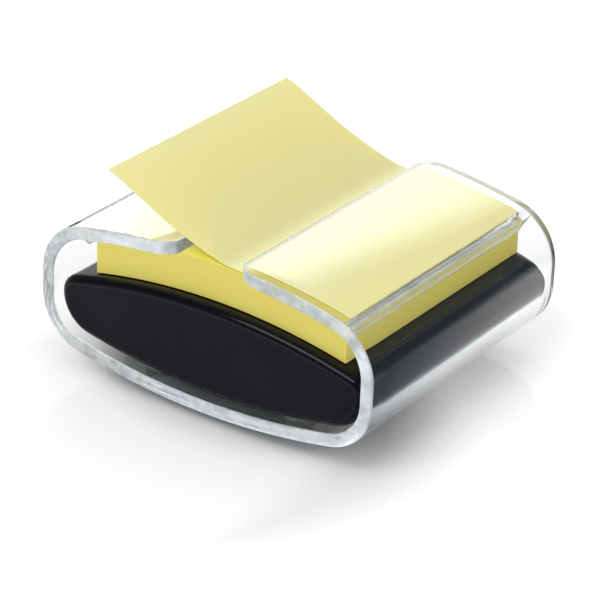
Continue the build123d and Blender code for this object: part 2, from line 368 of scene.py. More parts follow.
class Finish:
    """The node tree of one material or of the world."""

    def __init__(self, owner):
        owner.use_nodes = True
        self.owner = owner
        self.tree = owner.node_tree
        self.tree.nodes.clear()

    def node(self, kind, output=0, settings=None, inputs=None):
        """Adds a node of a kind, sets its settings first, then its sockets' values or links."""
        made = self.tree.nodes.new(kind)
        for name, value in (settings or {}).items():
            setattr(made, name, value)
        for name, value in (inputs or {}).items():
            socket = made.inputs[name]
            if isinstance(value, Value):
                self.tree.links.new(value.socket, socket)
            elif hasattr(value, "__len__") and len(value) < len(socket.default_value):
                socket.default_value = (*value, 1.0)
            else:
                socket.default_value = value
        return Value(self, made.outputs[output]) if made.outputs else made

    def maths(self, operation, first, second):
        """One Math node."""
        return self.node("ShaderNodeMath", settings={"operation": operation}, inputs={0: first, 1: second})

    def ramp(self, value, low, high, first=0.0, last=1.0):
        """A smooth step of a value, from first at low to last at high."""
        steps = {"Value": value, "From Min": low, "From Max": high, "To Min": first, "To Max": last}
        return self.node("ShaderNodeMapRange", settings={"interpolation_type": "SMOOTHSTEP"}, inputs=steps)

    def mix(self, share, first, second):
        """A mix of two colours by a share."""
        colours = {0: share, 6: first, 7: second}
        return self.node("ShaderNodeMix", output=2, settings={"data_type": "RGBA"}, inputs=colours)

    def attribute(self, name):
        """A number that the mesh carries at its points."""
        return self.node("ShaderNodeAttribute", output="Fac", settings={"attribute_name": name})

    def rays(self, kind):
        """1 for rays of a kind, such as Camera, and 0 for others."""
        return self.node("ShaderNodeLightPath", output=f"Is {kind} Ray")

    def place(self):
        """The point on the piece, in its own coordinates, in metres."""
        return self.node("ShaderNodeTexCoord", output="Object")

    def parts(self, vector):
        """The three numbers of a vector."""
        first = self.node("ShaderNodeSeparateXYZ", inputs={0: vector})
        return [Value(self, socket) for socket in first.socket.node.outputs]

    def vector(self, x, y, z):
        """A vector of three numbers."""
        return self.node("ShaderNodeCombineXYZ", inputs={0: x, 1: y, 2: z})

    def noise(self, vector, grain, detail=3.0, roughness=0.5):
        """Cloudy noise between 0 and 1 whose grain is a size in metres."""
        settings = {"Vector": vector, "Scale": 1.0 / grain, "Detail": detail, "Roughness": roughness}
        return self.node("ShaderNodeTexNoise", inputs=settings)

    def bump(self, height, depth):
        """A normal bent by a height between 0 and 1, over a depth in metres."""
        return self.node("ShaderNodeBump", inputs={"Height": height, "Distance": depth, "Strength": 1.0})

    def solid(self, **sockets):
        """A Principled shader: each keyword names a socket, with _ for a space."""
        inputs = {name.replace("_", " "): value for name, value in sockets.items()}
        return self.node("ShaderNodeBsdfPrincipled", inputs=inputs)

    def sheer(self, colour=WHITE):
        """A surface that lets light straight through and tints it."""
        return self.node("ShaderNodeBsdfTransparent", inputs={"Color": colour})

    def light(self, colour, strength):
        """A surface that shines."""
        return self.node("ShaderNodeEmission", inputs={"Color": colour, "Strength": strength})

    def join(self, share, first, second):
        """A mix of two shaders by a share."""
        return self.node("ShaderNodeMixShader", inputs={0: share, 1: first, 2: second})

    def surface(self, shader, **inside):
        """Ends the tree with a surface and what fills it, and returns the tree's owner."""
        kind = "World" if isinstance(self.owner, bpy.types.World) else "Material"
        self.node(f"ShaderNodeOutput{kind}", inputs={"Surface": shader, **inside})
        return self.owner


def new_finish(name):
    """The empty tree of a new material."""
    return Finish(bpy.data.materials.new(name))


def flat_length(first, second):
    """sqrt(a^2 + b^2) of two node values."""
    return (first * first + second * second) ** 0.5


def clear_plastic():
    """Clear plastic that dims light on a long way, with slight waves, milky marked rims and soft lips; the
    haze and tints of rims, ribs and lips are partly painted light.
    """
    colours = sizes("finish_colours")
    tree = new_finish("clear_plastic")
    place = tree.place()
    x, y, z = tree.parts(place)
    rim = tree.ramp(tree.attribute("rim"), *RIM_FADE)
    # painted refraction: where this mask reaches, the lips take a grey haze for the band their rounding
    # shows
    lip = tree.ramp(tree.attribute("lip"), *LIP_FADE)
    # painted reflection: past this depth the rims' haze turns olive-grey, for the paper mirrored in the rear
    # rim
    painted_rear_band = tree.ramp(y, *REAR_FADE)
    belly = tree.ramp(z, *BELLY_FADE)
    waves = tree.noise(place, WAVE_GRAIN, detail=1.0)
    flow = tree.noise(tree.vector(x, y * FLOW_STRETCH, z), FLOW_GRAIN, detail=2.0)
    streak = tree.noise(tree.vector(x * STREAK_STRETCH, y, z), STREAK_GRAIN, detail=2.0)
    smear = tree.noise(place, SMEAR_GRAIN)
    normal = tree.bump(waves * WAVE_SHARE + rim * flow * FLOW_SHARE, WAVE_DEPTH)
    # partly painted light: the rims' haze follows the flow marks, and the lips' haze is a painted band
    haze = tree.maths("MAXIMUM", rim * tree.ramp(flow, *FLOW_FADE, *FLOW_HAZE), lip * LIP_PAINTED_BAND)
    streaked = tree.mix(tree.ramp(streak, *STREAK_FADE), colours.milky_and_painted_light, colours.flow_marks_painted_blue)
    glass = tree.solid(
        Base_Color=colours.clear,
        Roughness=0.004 + smear * 0.01 + rim * 0.1,
        IOR=PLASTIC_IOR,
        Transmission_Weight=1.0,
        Normal=normal,
    )
    milky_and_painted_light = tree.solid(
        Base_Color=tree.mix(painted_rear_band, tree.mix(lip, streaked, colours.lip), colours.rear_rim_painted_reflection),
        Roughness=0.35 + smear * 0.1,
        IOR=PLASTIC_IOR,
        Transmission_Weight=0.4,
        Normal=normal,
    )
    wall = tree.join(haze, glass, milky_and_painted_light)
    straight = tree.join(belly, tree.sheer(colours.clear_shadow), tree.sheer(colours.belly_shadow))
    unbent = tree.maths("MAXIMUM", tree.rays("Shadow"), tree.rays("Diffuse"))
    loss = {"Color": colours.clear_depth, "Density": colours.clear_loss}
    depth = tree.node("ShaderNodeVolumeAbsorption", inputs=loss)
    return tree.surface(tree.join(unbent, wall, straight), Volume=depth)


def clear_rubber():
    """Soft clear rubber with a faint haze."""
    tree = new_finish("clear_rubber")
    haze = tree.noise(tree.place(), RUBBER_GRAIN)
    rubber = tree.solid(
        Base_Color=sizes("finish_colours").rubber,
        Roughness=0.25 + haze * 0.2,
        IOR=RUBBER_IOR,
        Transmission_Weight=0.7,
        Normal=tree.bump(haze, RUBBER_DEPTH),
    )
    return tree.surface(rubber)


def polished_black():
    """Polished black plastic with faint drawing marks along its length."""
    colours = sizes("finish_colours")
    tree = new_finish("black_plastic")
    x, y, z = tree.parts(tree.place())
    across, along = POLISH_STRETCH
    polish = tree.noise(tree.vector(x * across, y * along, z * across), POLISH_GRAIN)
    # painted reflection: the base's reflections are tinted blue
    plastic = tree.solid(
        Base_Color=colours.black,
        Roughness=0.07 + polish * 0.08,
        Specular_IOR_Level=0.2,
        Specular_Tint=colours.reflection_painted_blue,
        Normal=tree.bump(polish, POLISH_DEPTH),
    )
    return tree.surface(plastic)


def satin_black():
    """Satin black plastic with a fine spark-eroded grain."""
    colours = sizes("finish_colours")
    tree = new_finish("satin_face")
    place = tree.place()
    grain = tree.noise(place, SATIN_GRAIN, detail=2.0)
    shade = tree.noise(place, SHADE_GRAIN)
    # painted reflection: the end faces' reflections are tinted blue
    plastic = tree.solid(
        Base_Color=tree.mix(shade, colours.black, colours.satin),
        Roughness=0.36 + shade * 0.06 + grain * 0.04,
        Specular_IOR_Level=0.09,
        Specular_Tint=colours.reflection_painted_blue,
        Normal=tree.bump(grain, SATIN_DEPTH),
    )
    return tree.surface(plastic)


def grained_cover():
    """Black plastic with an eroded grain."""
    colours = sizes("finish_colours")
    tree = new_finish("black_cover")
    place = tree.place()
    grain = tree.noise(place, COVER_GRAIN, detail=4.0)
    scuff = tree.noise(place, SCUFF_GRAIN)
    plastic = tree.solid(
        Base_Color=tree.mix(scuff, colours.cover, colours.satin),
        Roughness=0.45 + grain * 0.25,
        Normal=tree.bump(grain, COVER_DEPTH),
    )
    return tree.surface(plastic)


def cast_iron():
    """Rough cast iron."""
    colour = sizes("finish_colours").iron
    tree = new_finish("ballast")
    place = tree.place()
    sand = tree.noise(place, SAND_GRAIN, detail=5.0)
    dark = [part * DARK_IRON for part in colour]
    iron = tree.solid(
        Base_Color=tree.mix(tree.noise(place, CASTING_GRAIN), colour, dark),
        Roughness=0.5 + sand * 0.3,
        Metallic=0.7,
        Normal=tree.bump(sand, SAND_DEPTH),
    )
    return tree.surface(iron)


def plated_steel():
    """Zinc plated steel with fine turning marks."""
    tree = new_finish("screw_steel")
    place = tree.place()
    x, y, z = tree.parts(place)
    marks = tree.noise(tree.vector(x, y, z * TURNING_STRETCH), TURNING_GRAIN)
    steel = tree.solid(
        Base_Color=sizes("finish_colours").steel,
        Roughness=0.22 + tree.noise(place, BLOOM_GRAIN) * 0.2,
        Metallic=1.0,
        Normal=tree.bump(marks, TURNING_DEPTH),
    )
    return tree.surface(steel)


def paper(tree, colour, normal, streak):
    """Uncoated matte paper."""
    roughness = 0.72 + streak * 0.12
    return tree.solid(Base_Color=colour, Roughness=roughness, Specular_IOR_Level=0.25, Normal=normal)


def note_paper(name, colour, left, right, left_fade, through):
    """A note with cloudy fibres; the changes of its colour towards its left and right edges are painted
    light.

    left_fade is where the left change starts and ends, and through the share of light that passes the note.
    """
    bend = sizes("paper_sizes").bend_start
    tree = new_finish(name)
    place = tree.place()
    x = tree.parts(place)[0]
    fibre = tree.noise(place, FIBRE_GRAIN, detail=5.0)
    cloud = tree.noise(place, CLOUD_GRAIN, detail=2.0)
    deep = [part * DEEP_PAPER for part in colour]
    tint = tree.mix(FIBRE_SHARE * fibre + (1.0 - FIBRE_SHARE) * cloud, colour, deep)
    # painted shade: for the raised note, the colour turns deeper towards the right edge, where the roof's
    # sheen falls off
    tint = tree.mix(tree.ramp(x, *TAIL_FADE), tint, right)
    # painted light: towards the left edge the colour turns paler, for the raised note's highlight and the
    # laid note's sheen
    tint = tree.mix(tree.ramp(x, *left_fade), tint, left)
    face = paper(tree, tint, tree.bump(fibre, FIBRE_DEPTH), fibre)
    passing = tree.node("ShaderNodeBsdfTranslucent", inputs={"Color": sizes("finish_colours").note_through})
    free = tree.ramp(x, bend + LIGHT_FADE[0], bend + LIGHT_FADE[1], last=through)
    return tree.surface(tree.join(free, face, passing))


def note_stack_paper():
    """The pad's cut edges: fine streaks along the sheets, which lie on arcs about the deck's centre."""
    colours = sizes("finish_colours")
    tree = new_finish("note_stack")
    x, y, z = tree.parts(tree.place())
    level = flat_length(x, z - sizes("sleeve_sizes").arch_centre)
    sheets = tree.vector(level * EDGE_STRETCH[0], (x + y) * EDGE_STRETCH[1], 0.0)
    bands = tree.vector(level * LEAF_STRETCH[0], (x - y) * LEAF_STRETCH[1], 0.0)
    streak = tree.noise(sheets, EDGE_GRAIN, detail=4.0, roughness=0.7)
    leaf = tree.noise(bands, LEAF_GRAIN, detail=2.0)
    tint = tree.mix(tree.ramp(0.5 * streak + 0.5 * leaf, *LEAF_FADE), colours.stack, colours.stack_dark)
    return tree.surface(paper(tree, tint, tree.bump(streak, EDGE_DEPTH), leaf))


def ring_faces(rows, columns):
    """Quads of a grid of points, row by row, with the last column joined to the first."""
    row = np.arange(rows - 1)[:, None]
    column = np.arange(columns)[None, :]
    following = (column + 1) % columns
    corners = [row * columns + column, row * columns + following]
    corners += [(row + 1) * columns + following, (row + 1) * columns + column]
    return np.stack(corners, axis=-1).reshape(-1, 4)


def cap_faces(upper, lower):
    """Quads that close a flat end between two lines of points, given by their numbers."""
    return np.stack([upper[:-1], upper[1:], lower[1:], lower[:-1]], axis=-1)


def run_faces(rows, columns):
    """Quads of a ring carried row by row, and of its two flat ends.

    The ring's first half is its upper line, and the second half the lower line, back to the start.
    """
    upper = np.arange(columns // 2)
    lower = columns - 1 - upper
    last_row = (rows - 1) * columns
    start = cap_faces(upper, lower)[:, ::-1]
    end = cap_faces(last_row + upper, last_row + lower)
    return np.concatenate([ring_faces(rows, columns), start, end])


def signed_volume(points, quads):
    """Volume inside closed quads: the sum of a . (b x c) / 6 over their triangles."""
    corners = points[quads]
    halves = np.concatenate([corners[:, [0, 1, 2]], corners[:, [0, 2, 3]]])
    return np.einsum("ij,ij->", halves[:, 0], np.cross(halves[:, 1], halves[:, 2])) / 6


def welded(points, quads):
    """Joins points that fall together, so that a quad with two such corners becomes a triangle.

    Returns the numbers of the points kept, the faces as lists, and the quad that each face comes from.
    """
    keys = np.round(points / WELD_DISTANCE).astype(np.int64)
    first, place = np.unique(keys, axis=0, return_index=True, return_inverse=True)[1:]
    quads = place.reshape(-1)[quads]
    same = quads == np.roll(quads, 1, axis=1)
    repeats = same.sum(axis=1)
    whole = np.flatnonzero(repeats == 0)
    thin = np.flatnonzero(repeats == 1)
    triangles = quads[thin][~same[thin]].reshape(-1, 3)
    return first, quads[whole].tolist() + triangles.tolist(), np.append(whole, thin)


def new_object(name, data):
    """An object of the scene that shows a mesh, lamp or camera."""
    made = bpy.data.objects.new(name, data)
    bpy.context.scene.collection.objects.link(made)
    return made


def add_piece(name, points, quads, materials, kinds=0, marks=None):
    """A smooth mesh object with outward faces and marked creases.

    kinds numbers each face's material, and marks holds named numbers of the points.
    """
    points = points.reshape(-1, 3)
    if signed_volume(points, quads) < 0:
        quads = quads[:, ::-1]
    kept, faces, source = welded(points, quads)
    mesh = bpy.data.meshes.new(name)
    mesh.from_pydata(points[kept].tolist(), [], faces)
    for field, values in (marks or {}).items():
        layer = mesh.attributes.new(field, "FLOAT", "POINT")
        layer.data.foreach_set("value", values.reshape(-1)[kept])
    for material in materials:
        mesh.materials.append(material)
    kinds = np.broadcast_to(kinds, len(quads))[source]
    mesh.polygons.foreach_set("material_index", kinds.astype(np.int32))
    mesh.shade_smooth()
    mesh.set_sharp_from_angle(angle=SHARP_ANGLE)
    piece = new_object(name, mesh)
    return piece


def dress(node, material):
    """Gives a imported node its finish."""
    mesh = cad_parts[node].data
    mesh.materials.clear()
    mesh.materials.append(material)


def arc_samples(centre_x, centre_z, radius, angles):
    """Samples of one arc as rows of centre x, centre z, radius and angle, clockwise from straight up."""
    angles = np.asarray(angles, float)
    return np.stack(np.broadcast_arrays(centre_x, centre_z, radius, angles), axis=-1)


def mirrored(samples):
    """The same samples on the left side: centre x and angle change their signs."""
    return samples * np.array([-1.0, 1.0, 1.0, -1.0])


def both_sides(side, middle):
    """A line of samples from right to left, given by its right half, which ends in the middle."""
    half = np.concatenate([side, middle])
    return np.concatenate([half, mirrored(half[-2::-1])])


def arc_points(samples, lift):
    """Points centre + (radius + lift) * (sin a, cos a) of arc samples, as x and z."""
    centre_x, centre_z, radius, angle = np.moveaxis(samples, -1, 0)
    return centre_x + (radius + lift) * np.sin(angle), centre_z + (radius + lift) * np.cos(angle)


def smooth_step(value, low, high):
    """0 below low, 1 above high, and 3 t^2 - 2 t^3 between."""
    t = np.clip((value - low) / (high - low), 0, 1)
    return t * t * (3 - 2 * t)


def pad_ends():
    """Depths at which the pad's front and back stand."""
    p = sizes("paper_sizes")
    return p.front, p.front + p.note


def half_wrap(lip):
    """Arc samples of half the wrap, from a lip at a distance from the middle to the belly's lowest line.

    The samples crowd at the lip, where the panel's corner is rounded, and at the guide rib's sides.
    """
    s = sizes("sleeve_sizes")
    middle_radius = s.roof_radius + s.wall / 2
    roof_end = np.arcsin(s.shoulder_x / (s.roof_radius - s.shoulder_radius))
    belly_end = np.pi - np.arcsin(s.heel_x / (s.belly_radius - s.heel_radius))
    lip_angle = np.arcsin(lip / middle_radius)
    corner_end = lip_angle + s.lip_corner / middle_radius
    rounding = 1 - np.cos(np.linspace(0, RIGHT_ANGLE, LIP_SAMPLES))
    corner = lip_angle + rounding * (corner_end - lip_angle)
    roof = np.append(corner, np.linspace(corner_end, roof_end, ROOF_SAMPLES)[1:])
    near = s.rib_inner + np.array([-EDGE_STEP, EDGE_STEP])
    body = s.rib_inner + np.linspace(0, s.rib_thickness, RIB_SAMPLES)[1:-1]
    rib = np.concatenate([near, body, near + s.rib_thickness])
    rib_angles = np.arcsin((rib - s.shoulder_x) / s.shoulder_radius)
    shoulder = np.union1d(np.linspace(roof_end, RIGHT_ANGLE, TURN_SAMPLES)[1:], rib_angles)
    heel = np.linspace(RIGHT_ANGLE, belly_end, TURN_SAMPLES)
    belly = np.linspace(belly_end, np.pi, BELLY_SAMPLES)[1:]
    arcs = [
        arc_samples(0.0, s.arch_centre, s.roof_radius, roof),
        arc_samples(s.shoulder_x, s.shoulder_z, s.shoulder_radius, shoulder),
        arc_samples(s.heel_x, s.heel_z, s.heel_radius, heel),
        arc_samples(0.0, s.belly_centre, s.belly_radius, belly),
    ]
    return np.concatenate(arcs)


def bar_section(across):
    """The points round a rounded bar: side u from -1 to 1, rounding f, and 1 above or -1 below.

    f is 1 on the flats and falls to 0 at the outermost line of each end.
    """
    turn = np.linspace(0, 1, RIM_SAMPLES)
    row = np.ones_like(across)
    side = np.ones_like(turn)
    u = np.concatenate([across, side[1:], side, -across[1:], -side[1:], -side[:-1]])
    f = np.concatenate([row, turn[-2::-1], turn, row[1:], turn[-2::-1], turn[:-1]])
    sign = np.concatenate([row, side[1:], -side, -row[1:], -side[1:], side[:-1]])
    return u, f, sign


def guide_ribs(x, y):
    """Height of a guide rib's sole at each point, and whether the point lies within a rib, seen from above.

    The ribs run along the pad. A sole is flat, and e - sqrt(e^2 - t^2) rounds its edges of radius e.
    """
    s = sizes("sleeve_sizes")
    middle = s.rib_inner + s.rib_thickness / 2
    off = np.abs(np.abs(x) - middle)
    top = s.shoulder_z + np.sqrt(s.shoulder_radius**2 - (middle - s.shoulder_x) ** 2)
    past_flat = np.clip(off - s.rib_thickness / 2 + s.rib_edge, 0, s.rib_edge)
    sole = top - s.rib_depth + s.rib_edge - np.sqrt(s.rib_edge**2 - past_flat**2)
    front, back = pad_ends()
    return sole, (off < s.rib_thickness / 2) & (y > front) & (y < back)


def wrap_surface():
    """The clear wrap as one closed surface.

    A rounded bar, y = u * Y and n = +-N, is carried along the wrap's middle line. With d the distance to
    the nearer lip, a rim of radius r at angle f lies at e = r * (1 - cos f) inside the outline, where
    N = wall / 2 - r + r * sin f and Y = half depth - e. Next to a lip's corner of radius c,
    Y = half depth - c + sqrt((c - e)^2 - (c - d)^2). A long lip of radius R keeps N below
    wall / 2 - R + sqrt(R^2 - (R - d)^2). Guide ribs press the inner side down to a flat sole.
    Also returns how far each point is part of a rim or, less so, a rib, and of a lip, from 0 to 1.
    """
    s = sizes("sleeve_sizes")
    left = mirrored(half_wrap(s.lip_left))
    right = half_wrap(s.lip_right)
    path = np.concatenate([left, right[-2::-1]])
    heading = path[:, 3:]
    middle_x, middle_z = arc_points(path, s.wall / 2)
    steps = np.hypot(np.diff(middle_x), np.diff(middle_z))
    station = np.append(0.0, np.cumsum(steps))
    to_lip = np.minimum(station, station[-1] - station)[:, None]

    half = s.depth / 2
    rib_ends = np.add.outer(pad_ends(), [-EDGE_STEP, EDGE_STEP])
    across = np.union1d(np.linspace(-1, 1, DEPTH_SAMPLES), rib_ends / (half - s.rim_radius))
    u, f, sign = bar_section(across)
    reach = np.minimum(to_lip, s.rim_radius)
    angle = f * np.arccos(1 - reach / s.rim_radius)
    inside = s.rim_radius * (1 - np.cos(angle))
    to_flat = np.maximum(s.lip_radius - to_lip, 0)
    lip_rise = s.wall / 2 - s.lip_radius + np.sqrt(s.lip_radius**2 - to_flat**2)
    rise = sign * np.minimum(s.wall / 2 - s.rim_radius + s.rim_radius * np.sin(angle), lip_rise)
    corner = np.maximum(s.lip_corner - to_lip, 0)
    rounded = half - s.lip_corner + np.sqrt(np.maximum((s.lip_corner - inside) ** 2 - corner**2, 0))
    y = u * np.where(to_lip < s.lip_corner, rounded, half - inside)
    x = middle_x[:, None] + rise * np.sin(heading)
    z = middle_z[:, None] + rise * np.cos(heading)
    sole, within = guide_ribs(x, y)
    ribbed = within & (sign < 0) & (f == 1) & (np.cos(heading) > 0)
    z = np.where(ribbed, sole, z)

    above = (z - s.shoulder_z) / s.shoulder_radius
    # the front rim is fully hazed; the rear rim's haze, which carries the painted reflection of the paper,
    # rises above the shoulder
    rim = np.where(u < 0, 1.0, REAR_PAINTED_BAND * smooth_step(above, 0.0, 1.0)) * (1 - f)
    lip = np.broadcast_to(to_flat / s.lip_radius, y.shape)
    # partly painted light: the guide ribs take a little of the rims' haze, which lightens them
    marks = {"rim": np.maximum(rim, RIB_PAINTED_HAZE * ribbed), "lip": lip}

    rows, columns = y.shape
    quads = [ring_faces(rows, columns)]
    first = np.arange(len(across))
    partner = len(across) + 2 * RIM_SAMPLES - 2 + first[::-1]
    for start in (0, (rows - 1) * columns):
        ends = cap_faces(start + first, start + partner)
        quads.append(ends if start else ends[:, ::-1])
    return np.stack([x, y, z], axis=-1), np.concatenate(quads), marks


def run_surface(upper, lower, depth, inset):
    """A section carried along y between flat ends.

    upper and lower are arc samples from right to left, and each row has a depth y and an inset.
    Its points are (x(a, inset), y, z(a, inset)).
    """
    ring = np.concatenate([upper, lower[::-1]])
    x, z = arc_points(ring[None, :, :], -inset[:, None])
    y = np.broadcast_to(depth[:, None], x.shape)
    return np.stack([x, y, z], axis=-1), run_faces(*x.shape)


def base_surface():
    """The base as a lens carried along y, rounded at both ends, with a shallow dish for the cover below.

    Also returns which faces belong to the flat ends.
    """
    s = sizes("sleeve_sizes")
    b = sizes("base_sizes")
    corner_x = s.heel_x + s.heel_radius - b.clearance - b.corner_radius
    deck_end = np.arcsin(corner_x / (b.deck_radius - b.corner_radius))
    corner_z = s.arch_centre + (b.deck_radius - b.corner_radius) * np.cos(deck_end)
    belly_end = np.pi - np.arcsin(s.heel_x / (s.belly_radius - s.heel_radius))
    corner_turn = np.linspace(RIGHT_ANGLE, deck_end, BASE_SAMPLES)
    deck_turn = np.linspace(deck_end, 0, BASE_SAMPLES)[1:]
    heel_turn = np.linspace(RIGHT_ANGLE, belly_end, BASE_SAMPLES)
    belly_turn = np.linspace(belly_end, np.pi, BASE_SAMPLES)[1:]
    corner = arc_samples(corner_x, corner_z, b.corner_radius, corner_turn)
    deck = arc_samples(0.0, s.arch_centre, b.deck_radius, deck_turn)
    heel = arc_samples(s.heel_x, s.heel_z, s.heel_radius - b.clearance, heel_turn)
    belly = arc_samples(0.0, s.belly_centre, s.belly_radius - b.clearance, belly_turn)
    upper = both_sides(corner, deck)
    lower = both_sides(heel, belly)

    turn = np.linspace(RIGHT_ANGLE, 0, BASE_EDGE_SAMPLES)
    rounding = b.edge_radius * (1 - np.cos(turn))
    into = b.edge_radius * (1 - np.sin(turn))
    dish_start = b.front + b.edge_radius
    dish_end = b.back - b.edge_radius
    straight = np.linspace(dish_start, dish_end, BASE_DEPTH_SAMPLES)[1:-1]
    depth = np.concatenate([b.front + into, straight, (b.back - into)[::-1]])
    inset = np.concatenate([rounding, np.zeros_like(straight), rounding[::-1]])
    points, quads = run_surface(upper, lower, depth, inset)

    x = points[..., 0]
    y = points[..., 1]
    moat = b.cover_margin - b.edge_radius
    slope = moat * DISH_SLOPE
    dish_side = -b.cover_width / 2 - moat
    along = smooth_step(y, dish_start, dish_start + slope) * smooth_step(-y, -dish_end, slope - dish_end)
    beside = smooth_step(-np.abs(x), dish_side, dish_side + slope)
    below = np.arange(len(upper) + len(lower)) >= len(upper)
    points[..., 2] += b.cover_dish * along * beside * below
    satin = np.arange(len(quads)) >= (len(depth) - 1) * len(below)
    return points, quads, satin


def arched_block(inner_radius, thickness):
    """A sheet or stack bent over the deck: two arcs about the arch's centre, cut off at the note's sides."""
    p = sizes("paper_sizes")
    centre_z = sizes("sleeve_sizes").arch_centre
    x = np.linspace(p.shift + p.note / 2, p.shift - p.note / 2, PAD_SAMPLES)
    outer_radius = inner_radius + thickness
    upper = arc_samples(0.0, centre_z, outer_radius, np.arcsin(x / outer_radius))
    lower = arc_samples(0.0, centre_z, inner_radius, np.arcsin(x / inner_radius))
    depth = np.linspace(*pad_ends(), PAD_DEPTH_SAMPLES)
    return run_surface(upper, lower, depth, np.zeros_like(depth))


def note_line(rise):
    """The raised note's line in x and z, moved up by rise along its normal.

    From the stuck edge it follows the pad's arch, then arcs and a straight run joined in tangents:
    each short step adds its length times (-cos h, sin h), with the heading h measured up from straight left.
    """
    p = sizes("paper_sizes")
    centre_z = sizes("sleeve_sizes").arch_centre
    arch = sizes("base_sizes").deck_radius + 2 * p.gap + p.pad_thickness + p.thickness
    stuck = np.arcsin((p.shift + p.note / 2) / arch)
    leave = np.arcsin(p.bend_start / arch)
    tail = np.linspace(stuck, leave, TAIL_SAMPLES)
    bent = [p.bend_radius * p.bend_angle, p.sweep_radius * p.sweep_angle, p.tip_radius * p.tip_angle]
    straight = p.note - arch * (stuck - leave) - sum(bent)
    lengths = [bent[0], bent[1], straight, bent[2]]
    headings = np.cumsum([leave, p.bend_angle, p.sweep_angle, 0.0, -p.tip_angle])
    runs = zip(headings[:-1], headings[1:], FLAP_STEPS)
    heading = np.concatenate([np.linspace(start, end, count + 1)[1:] for start, end, count in runs])
    step = np.repeat(np.array(lengths) / FLAP_STEPS, FLAP_STEPS)
    middle = (np.append(leave, heading[:-1]) + heading) / 2
    flap_x = arch * np.sin(leave) - np.cumsum(step * np.cos(middle))
    flap_z = centre_z + arch * np.cos(leave) + np.cumsum(step * np.sin(middle))
    x = np.append((arch + rise) * np.sin(tail), flap_x + rise * np.sin(heading))
    z = np.append(centre_z + (arch + rise) * np.cos(tail), flap_z + rise * np.cos(heading))
    return x, z


def raised_note_surface():
    """One thin sheet: its lower and upper lines, carried along y."""
    upper_x, upper_z = note_line(sizes("paper_sizes").thickness)
    lower_x, lower_z = note_line(0.0)
    ring_x = np.concatenate([upper_x, lower_x[::-1]])
    ring_z = np.concatenate([upper_z, lower_z[::-1]])
    y = np.linspace(*pad_ends(), NOTE_DEPTH_SAMPLES)[:, None]
    points = np.stack(np.broadcast_arrays(ring_x, y, ring_z), axis=-1)
    return points, run_faces(*points.shape[:2])


class DISPENSER_OT_wrap(Operator):
    """Make the clear wrap with its slotted roof, rounded rims and guide ribs"""

    bl_idname = "dispenser.wrap"
    bl_label = "Clear wrap"

    def execute(self, context):
        points, quads, marks = wrap_surface()
        piece = add_piece("clear_wrap", points, quads, [clear_plastic()], marks=marks)
        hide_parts("clear_sleeve")
        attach(piece, "sleeve")
        return {"FINISHED"}


class DISPENSER_OT_feet(Operator):
    """Finish the four clear feet"""

    bl_idname = "dispenser.feet"
    bl_label = "Feet"

    def execute(self, context):
        rubber = clear_rubber()
        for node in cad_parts:
            if node.startswith("foot_"):
                dress(node, rubber)
        return {"FINISHED"}


class DISPENSER_OT_base(Operator):
    """Make the black base with its satin end faces"""

    bl_idname = "dispenser.base"
    bl_label = "Weighted base"

    def execute(self, context):
        points, quads, satin = base_surface()
        finishes = [polished_black(), satin_black()]
        piece = add_piece("black_base", points, quads, finishes, satin)
        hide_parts("base_shell")
        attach(piece, "base")
        return {"FINISHED"}


class DISPENSER_OT_underside(Operator):
    """Finish the cover, its screws and the weight behind it"""

    bl_idname = "dispenser.underside"
    bl_label = "Cover, screws and weight"

    def execute(self, context):
        dress("base_cover", grained_cover())
        dress("cover_screws", plated_steel())
        dress("ballast_block", cast_iron())
        return {"FINISHED"}


class DISPENSER_OT_pad(Operator):
    """Make the stack of notes and the sheet on top of it"""

    bl_idname = "dispenser.pad"
    bl_label = "Refill pad"

    def execute(self, context):
        p = sizes("paper_sizes")
        colours = sizes("finish_colours")
        radius = sizes("base_sizes").deck_radius + p.gap
        points, quads = arched_block(radius, p.pad_thickness)
        stack = add_piece("note_stack", points, quads, [note_stack_paper()])
        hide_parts("note_pad")
        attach(stack, "pad")
        points, quads = arched_block(radius + p.pad_thickness, p.thickness)
        # painted sheen: the laid note is paler at its left
        material = note_paper("laid_note", colours.laid, colours.laid_left_painted_sheen, colours.laid, LAID_FADE, 0.0)
        sheet = add_piece("top_note", points, quads, [material])
        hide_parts("next_note")
        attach(sheet, "pad")
        return {"FINISHED"}


class DISPENSER_OT_note(Operator):
    """Make the note that stands out of the slot, one sheet that bends where it leaves the pad"""

    bl_idname = "dispenser.note"
    bl_label = "Raised note"

    def execute(self, context):
        p = sizes("paper_sizes")
        colours = sizes("finish_colours")
        points, quads = raised_note_surface()
        # painted light: the raised note is paler at its tip and deeper yellow at its tail
        edges = (colours.tip_painted_highlight, colours.tail_painted_shade)
        material = note_paper("free_note", colours.note, *edges, TIP_FADE, NOTE_LIGHT)
        piece = add_piece("popped_note", points, quads, [material])
        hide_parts("raised_note", "raised_note_tail")
        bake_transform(piece)
        return {"FINISHED"}


def plain_light(tree):
    """1 for rays from the camera, from mirrors and through glass, and 0 for those that light the object."""
    seen = tree.rays("Camera") + tree.rays("Glossy") + tree.rays("Transmission")
    return tree.maths("MINIMUM", seen, 1.0)


